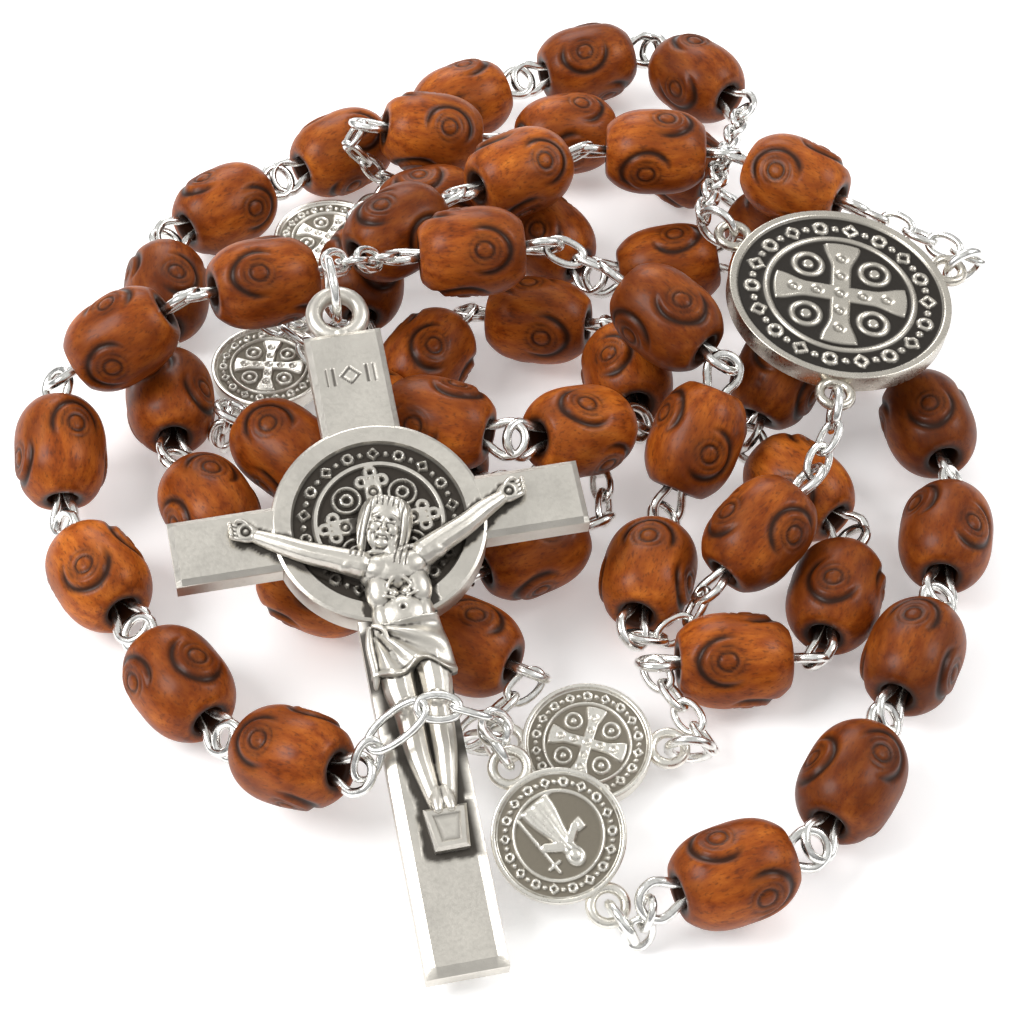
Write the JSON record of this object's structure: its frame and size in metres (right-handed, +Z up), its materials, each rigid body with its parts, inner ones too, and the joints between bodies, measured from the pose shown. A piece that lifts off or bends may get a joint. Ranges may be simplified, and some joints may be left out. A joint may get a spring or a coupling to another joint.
{
  "type": "rosary",
  "caption": "Rosary lying in a loose pile: carved wooden barrel beads on wire eye pins with chain links, round medals, a three-way centrepiece and a crucifix with a figure.",
  "frame": {"origin": "on the surface that the pile lies on, under the middle of the pile's bounding box", "axes": "+Z up from that surface, +Y away from the pile's front edge (where the crucifix's foot lies), +X to the right"},
  "size_m": [0.088, 0.1144, 0.0244],
  "materials": {
    "wood": "satin, reddish brown, with dark carved rings",
    "wire": "bright polished silver-coloured wire",
    "casting": "antique silver with near-black recesses and bright rims"
  },
  "bodies": {
    "strands": {"decade_1_chain": "wire", "decade_2_chain": "wire", "decade_3_chain": "wire", "decade_4_chain": "wire", "decade_5_chain": "wire", "pendant_chain": "wire", "centrepiece": "casting"},
    "crucifix": {"crucifix": "casting"},
    "medal_1": {"medal_1": "casting"},
    "medal_2": {"medal_2": "casting"},
    "medal_3": {"medal_3": "casting"},
    "medal_4": {"medal_4": "casting"},
    "decade_1_bead_01": {"decade_1_bead_01": "wood"},
    "decade_1_bead_02": {"decade_1_bead_02": "wood"},
    "decade_1_bead_03": {"decade_1_bead_03": "wood"},
    "decade_1_bead_04": {"decade_1_bead_04": "wood"},
    "decade_1_bead_05": {"decade_1_bead_05": "wood"},
    "decade_1_bead_06": {"decade_1_bead_06": "wood"},
    "decade_1_bead_07": {"decade_1_bead_07": "wood"},
    "decade_1_bead_08": {"decade_1_bead_08": "wood"},
    "decade_1_bead_09": {"decade_1_bead_09": "wood"},
    "decade_1_bead_10": {"decade_1_bead_10": "wood"},
    "decade_2_bead_01": {"decade_2_bead_01": "wood"},
    "decade_2_bead_02": {"decade_2_bead_02": "wood"},
    "decade_2_bead_03": {"decade_2_bead_03": "wood"},
    "decade_2_bead_04": {"decade_2_bead_04": "wood"},
    "decade_2_bead_05": {"decade_2_bead_05": "wood"},
    "decade_2_bead_07": {"decade_2_bead_07": "wood"},
    "decade_2_bead_09": {"decade_2_bead_09": "wood"},
    "decade_2_bead_10": {"decade_2_bead_10": "wood"},
    "decade_3_bead_02": {"decade_3_bead_02": "wood"},
    "decade_3_bead_03": {"decade_3_bead_03": "wood"},
    "decade_3_bead_04": {"decade_3_bead_04": "wood"},
    "decade_3_bead_05": {"decade_3_bead_05": "wood"},
    "decade_3_bead_06": {"decade_3_bead_06": "wood"},
    "decade_3_bead_07": {"decade_3_bead_07": "wood"},
    "decade_3_bead_08": {"decade_3_bead_08": "wood"},
    "decade_3_bead_10": {"decade_3_bead_10": "wood"},
    "decade_4_bead_01": {"decade_4_bead_01": "wood"},
    "decade_4_bead_03": {"decade_4_bead_03": "wood"},
    "decade_4_bead_04": {"decade_4_bead_04": "wood"},
    "decade_4_bead_06": {"decade_4_bead_06": "wood"},
    "decade_4_bead_07": {"decade_4_bead_07": "wood"},
    "decade_4_bead_08": {"decade_4_bead_08": "wood"},
    "decade_4_bead_09": {"decade_4_bead_09": "wood"},
    "decade_5_bead_01": {"decade_5_bead_01": "wood"},
    "decade_5_bead_02": {"decade_5_bead_02": "wood"},
    "decade_5_bead_03": {"decade_5_bead_03": "wood"},
    "decade_5_bead_04": {"decade_5_bead_04": "wood"},
    "decade_5_bead_05": {"decade_5_bead_05": "wood"},
    "decade_5_bead_06": {"decade_5_bead_06": "wood"},
    "decade_5_bead_07": {"decade_5_bead_07": "wood"},
    "decade_5_bead_08": {"decade_5_bead_08": "wood"},
    "decade_5_bead_09": {"decade_5_bead_09": "wood"},
    "decade_5_bead_10": {"decade_5_bead_10": "wood"},
    "pendant_bead_01": {"pendant_bead_01": "wood"},
    "pendant_bead_02": {"pendant_bead_02": "wood"},
    "pendant_bead_03": {"pendant_bead_03": "wood"},
    "pendant_bead_04": {"pendant_bead_04": "wood"},
    "pendant_bead_05": {"pendant_bead_05": "wood"}
  },
  "joints": [
    {"name": "crucifix_twist", "type": "hinge", "parent": "strands", "child": "crucifix", "pos_m": [-0.01455, -0.00169, 0.02076], "axis": [-0.1977, 0.9303, 0.309], "range_deg": [-18, 12]},
    {"name": "medal_1_swing", "type": "hinge", "parent": "strands", "child": "medal_1", "pos_m": [0.00415, -0.04499, 0.00526], "axis": [-0.5781, 0.7198, 0.3844], "range_deg": [-30, 30]},
    {"name": "medal_2_swing", "type": "hinge", "parent": "strands", "child": "medal_2", "pos_m": [-0.01755, 0.02781, 0.00266], "axis": [0.6428, 0.766, 0], "range_deg": [-15, 18]},
    {"name": "medal_3_swing", "type": "hinge", "parent": "strands", "child": "medal_3", "pos_m": [-0.02235, 0.00991, 0.00266], "axis": [-0.3746, -0.9272, 0], "range_deg": [-15, 15]},
    {"name": "medal_4_swing", "type": "hinge", "parent": "strands", "child": "medal_4", "pos_m": [0.00665, -0.03449, 0.00316], "axis": [0.9994, -0.0332, -0.0075], "range_deg": [-30, 10]},
    {"name": "decade_1_bead_01_spin", "type": "hinge", "parent": "strands", "child": "decade_1_bead_01", "pos_m": [0.02735, 0.02502, 0.01278], "axis": [-0.8377, 0.5453, 0.03], "continuous": true},
    {"name": "decade_1_bead_02_spin", "type": "hinge", "parent": "strands", "child": "decade_1_bead_02", "pos_m": [0.01421, 0.02904, 0.01301], "axis": [-0.9998, 0.0173, 0.0023], "continuous": true},
    {"name": "decade_1_bead_03_spin", "type": "hinge", "parent": "strands", "child": "decade_1_bead_03", "pos_m": [0.00111, 0.02525, 0.01366], "axis": [-0.8321, -0.5477, 0.0872], "continuous": true},
    {"name": "decade_1_bead_04_spin", "type": "hinge", "parent": "strands", "child": "decade_1_bead_04", "pos_m": [-0.01015, 0.01655, 0.01403], "axis": [-0.7422, -0.6692, -0.0353], "continuous": true},
    {"name": "decade_1_bead_05_spin", "type": "hinge", "parent": "strands", "child": "decade_1_bead_05", "pos_m": [-0.02201, 0.00903, 0.01463], "axis": [-0.9164, -0.3821, 0.1193], "continuous": true},
    {"name": "decade_1_bead_06_spin", "type": "hinge", "parent": "strands", "child": "decade_1_bead_06", "pos_m": [-0.03458, 0.00429, 0.01219], "axis": [-0.8418, -0.2811, -0.4608], "continuous": true},
    {"name": "decade_1_bead_07_spin", "type": "hinge", "parent": "strands", "child": "decade_1_bead_07", "pos_m": [-0.03981, -0.00446, 0.00664], "axis": [0.111, -0.9426, -0.315], "continuous": true},
    {"name": "decade_1_bead_08_spin", "type": "hinge", "parent": "strands", "child": "decade_1_bead_08", "pos_m": [-0.03526, -0.01728, 0.00455], "axis": [0.5258, -0.8503, 0.0231], "continuous": true},
    {"name": "decade_1_bead_09_spin", "type": "hinge", "parent": "strands", "child": "decade_1_bead_09", "pos_m": [-0.02731, -0.02916, 0.00464], "axis": [0.5855, -0.8106, -0.0103], "continuous": true},
    {"name": "decade_1_bead_10_spin", "type": "hinge", "parent": "strands", "child": "decade_1_bead_10", "pos_m": [-0.01725, -0.03839, 0.00676], "axis": [0.8213, -0.481, 0.3069], "continuous": true},
    {"name": "decade_2_bead_01_spin", "type": "hinge", "parent": "strands", "child": "decade_2_bead_01", "pos_m": [0.0179, -0.04833, 0.00478], "axis": [0.9299, 0.3677, 0.0035], "continuous": true},
    {"name": "decade_2_bead_02_spin", "type": "hinge", "parent": "strands", "child": "decade_2_bead_02", "pos_m": [0.02794, -0.0394, 0.00498], "axis": [0.4731, 0.8807, 0.0241], "continuous": true},
    {"name": "decade_2_bead_03_spin", "type": "hinge", "parent": "strands", "child": "decade_2_bead_03", "pos_m": [0.03421, -0.02655, 0.00513], "axis": [0.4037, 0.9149, -0.0027], "continuous": true},
    {"name": "decade_2_bead_04_spin", "type": "hinge", "parent": "strands", "child": "decade_2_bead_04", "pos_m": [0.03844, -0.01299, 0.00493], "axis": [0.1884, 0.9818, -0.0251], "continuous": true},
    {"name": "decade_2_bead_05_spin", "type": "hinge", "parent": "strands", "child": "decade_2_bead_05", "pos_m": [0.03838, 0.00105, 0.00456], "axis": [-0.197, 0.98, -0.0274], "continuous": true},
    {"name": "decade_2_bead_07_spin", "type": "hinge", "parent": "strands", "child": "decade_2_bead_07", "pos_m": [0.02613, 0.02651, 0.00436], "axis": [-0.5961, 0.8029, 0], "continuous": true},
    {"name": "decade_2_bead_09_spin", "type": "hinge", "parent": "strands", "child": "decade_2_bead_09", "pos_m": [0.00592, 0.04039, 0.00578], "axis": [-0.918, -0.3692, 0.1449], "continuous": true},
    {"name": "decade_2_bead_10_spin", "type": "hinge", "parent": "strands", "child": "decade_2_bead_10", "pos_m": [-0.00752, 0.03698, 0.00863], "axis": [-0.9612, -0.1078, 0.2537], "continuous": true},
    {"name": "decade_3_bead_02_spin", "type": "hinge", "parent": "strands", "child": "decade_3_bead_02", "pos_m": [-0.00607, -0.00639, 0.01227], "axis": [0.9488, -0.3145, 0.0299], "continuous": true},
    {"name": "decade_3_bead_03_spin", "type": "hinge", "parent": "strands", "child": "decade_3_bead_03", "pos_m": [0.00638, -0.00508, 0.00996], "axis": [0.7919, 0.4975, -0.354], "continuous": true},
    {"name": "decade_3_bead_04_spin", "type": "hinge", "parent": "strands", "child": "decade_3_bead_04", "pos_m": [0.01098, 0.00549, 0.00653], "axis": [-0.1487, 0.981, -0.1249], "continuous": true},
    {"name": "decade_3_bead_05_spin", "type": "hinge", "parent": "strands", "child": "decade_3_bead_05", "pos_m": [0.00296, 0.01406, 0.0051], "axis": [-0.973, 0.2182, -0.075], "continuous": true},
    {"name": "decade_3_bead_06_spin", "type": "hinge", "parent": "strands", "child": "decade_3_bead_06", "pos_m": [-0.00757, 0.00943, 0.00446], "axis": [-0.4995, -0.8662, -0.0148], "continuous": true},
    {"name": "decade_3_bead_07_spin", "type": "hinge", "parent": "strands", "child": "decade_3_bead_07", "pos_m": [-0.00654, -0.00223, 0.00436], "axis": [0.6436, -0.7654, 0], "continuous": true},
    {"name": "decade_3_bead_08_spin", "type": "hinge", "parent": "strands", "child": "decade_3_bead_08", "pos_m": [0.00218, -0.01433, 0.00476], "axis": [-0.8718, -0.4898, 0.0004], "continuous": true},
    {"name": "decade_3_bead_10_spin", "type": "hinge", "parent": "strands", "child": "decade_3_bead_10", "pos_m": [-0.01985, -0.00339, 0.00565], "axis": [-0.7583, 0.6434, 0.1052], "continuous": true},
    {"name": "decade_4_bead_01_spin", "type": "hinge", "parent": "strands", "child": "decade_4_bead_01", "pos_m": [-0.01387, 0.01835, 0.00643], "axis": [-0.0506, 0.99, 0.132], "continuous": true},
    {"name": "decade_4_bead_03_spin", "type": "hinge", "parent": "strands", "child": "decade_4_bead_03", "pos_m": [0.00364, 0.02574, 0.00518], "axis": [0.6681, -0.7351, -0.1152], "continuous": true},
    {"name": "decade_4_bead_04_spin", "type": "hinge", "parent": "strands", "child": "decade_4_bead_04", "pos_m": [0.01547, 0.02125, 0.00528], "axis": [0.9859, 0.1075, 0.1286], "continuous": true},
    {"name": "decade_4_bead_06_spin", "type": "hinge", "parent": "strands", "child": "decade_4_bead_06", "pos_m": [0.02493, 0.00433, 0.00787], "axis": [-0.4593, -0.7695, -0.4437], "continuous": true},
    {"name": "decade_4_bead_07_spin", "type": "hinge", "parent": "strands", "child": "decade_4_bead_07", "pos_m": [0.02604, -0.00681, 0.00453], "axis": [0.6144, -0.7886, -0.0238], "continuous": true},
    {"name": "decade_4_bead_08_spin", "type": "hinge", "parent": "strands", "child": "decade_4_bead_08", "pos_m": [0.02833, -0.01928, 0.00436], "axis": [-0.2936, -0.9559, 0], "continuous": true},
    {"name": "decade_4_bead_09_spin", "type": "hinge", "parent": "strands", "child": "decade_4_bead_09", "pos_m": [0.01911, -0.02666, 0.00463], "axis": [-0.9964, -0.0761, 0.0387], "continuous": true},
    {"name": "decade_5_bead_01_spin", "type": "hinge", "parent": "strands", "child": "decade_5_bead_01", "pos_m": [-0.00369, -0.0252, 0.00493], "axis": [-0.8733, 0.4863, -0.0283], "continuous": true},
    {"name": "decade_5_bead_02_spin", "type": "hinge", "parent": "strands", "child": "decade_5_bead_02", "pos_m": [-0.01633, -0.01852, 0.00462], "axis": [-0.894, 0.4477, -0.015], "continuous": true},
    {"name": "decade_5_bead_03_spin", "type": "hinge", "parent": "strands", "child": "decade_5_bead_03", "pos_m": [-0.02632, -0.00914, 0.00443], "axis": [-0.5031, 0.8642, -0.0108], "continuous": true},
    {"name": "decade_5_bead_04_spin", "type": "hinge", "parent": "strands", "child": "decade_5_bead_04", "pos_m": [-0.03094, 0.00411, 0.00436], "axis": [-0.144, 0.9896, 0], "continuous": true},
    {"name": "decade_5_bead_05_spin", "type": "hinge", "parent": "strands", "child": "decade_5_bead_05", "pos_m": [-0.03256, 0.0183, 0.00475], "axis": [-0.0818, 0.9951, 0.0555], "continuous": true},
    {"name": "decade_5_bead_06_spin", "type": "hinge", "parent": "strands", "child": "decade_5_bead_06", "pos_m": [-0.02784, 0.0302, 0.00479], "axis": [0.7418, 0.6687, -0.0503], "continuous": true},
    {"name": "decade_5_bead_07_spin", "type": "hinge", "parent": "strands", "child": "decade_5_bead_07", "pos_m": [-0.01675, 0.03918, 0.00439], "axis": [0.8093, 0.5874, -0.0048], "continuous": true},
    {"name": "decade_5_bead_08_spin", "type": "hinge", "parent": "strands", "child": "decade_5_bead_08", "pos_m": [-0.0047, 0.04683, 0.00454], "axis": [0.8754, 0.4827, 0.0251], "continuous": true},
    {"name": "decade_5_bead_09_spin", "type": "hinge", "parent": "strands", "child": "decade_5_bead_09", "pos_m": [0.00824, 0.05282, 0.00475], "axis": [0.935, 0.3546, 0.0045], "continuous": true},
    {"name": "decade_5_bead_10_spin", "type": "hinge", "parent": "strands", "child": "decade_5_bead_10", "pos_m": [0.0195, 0.04988, 0.00528], "axis": [0.6399, -0.7654, 0.0688], "continuous": true},
    {"name": "pendant_bead_01_spin", "type": "hinge", "parent": "strands", "child": "pendant_bead_01", "pos_m": [0.02162, -0.0162, 0.00889], "axis": [-0.6662, -0.6808, -0.3046], "continuous": true},
    {"name": "pendant_bead_02_spin", "type": "hinge", "parent": "strands", "child": "pendant_bead_02", "pos_m": [0.01227, -0.01717, 0.00472], "axis": [0.2353, 0.9718, -0.0131], "continuous": true},
    {"name": "pendant_bead_03_spin", "type": "hinge", "parent": "strands", "child": "pendant_bead_03", "pos_m": [0.01665, -0.0053, 0.00905], "axis": [0.3776, 0.6889, 0.6187], "continuous": true},
    {"name": "pendant_bead_04_spin", "type": "hinge", "parent": "strands", "child": "pendant_bead_04", "pos_m": [0.01427, 0.00453, 0.0146], "axis": [-0.711, 0.6852, 0.1581], "continuous": true},
    {"name": "pendant_bead_05_spin", "type": "hinge", "parent": "strands", "child": "pendant_bead_05", "pos_m": [-0.00318, 0.01057, 0.017], "axis": [-0.9943, -0.1065, 0], "continuous": true}
  ]
}
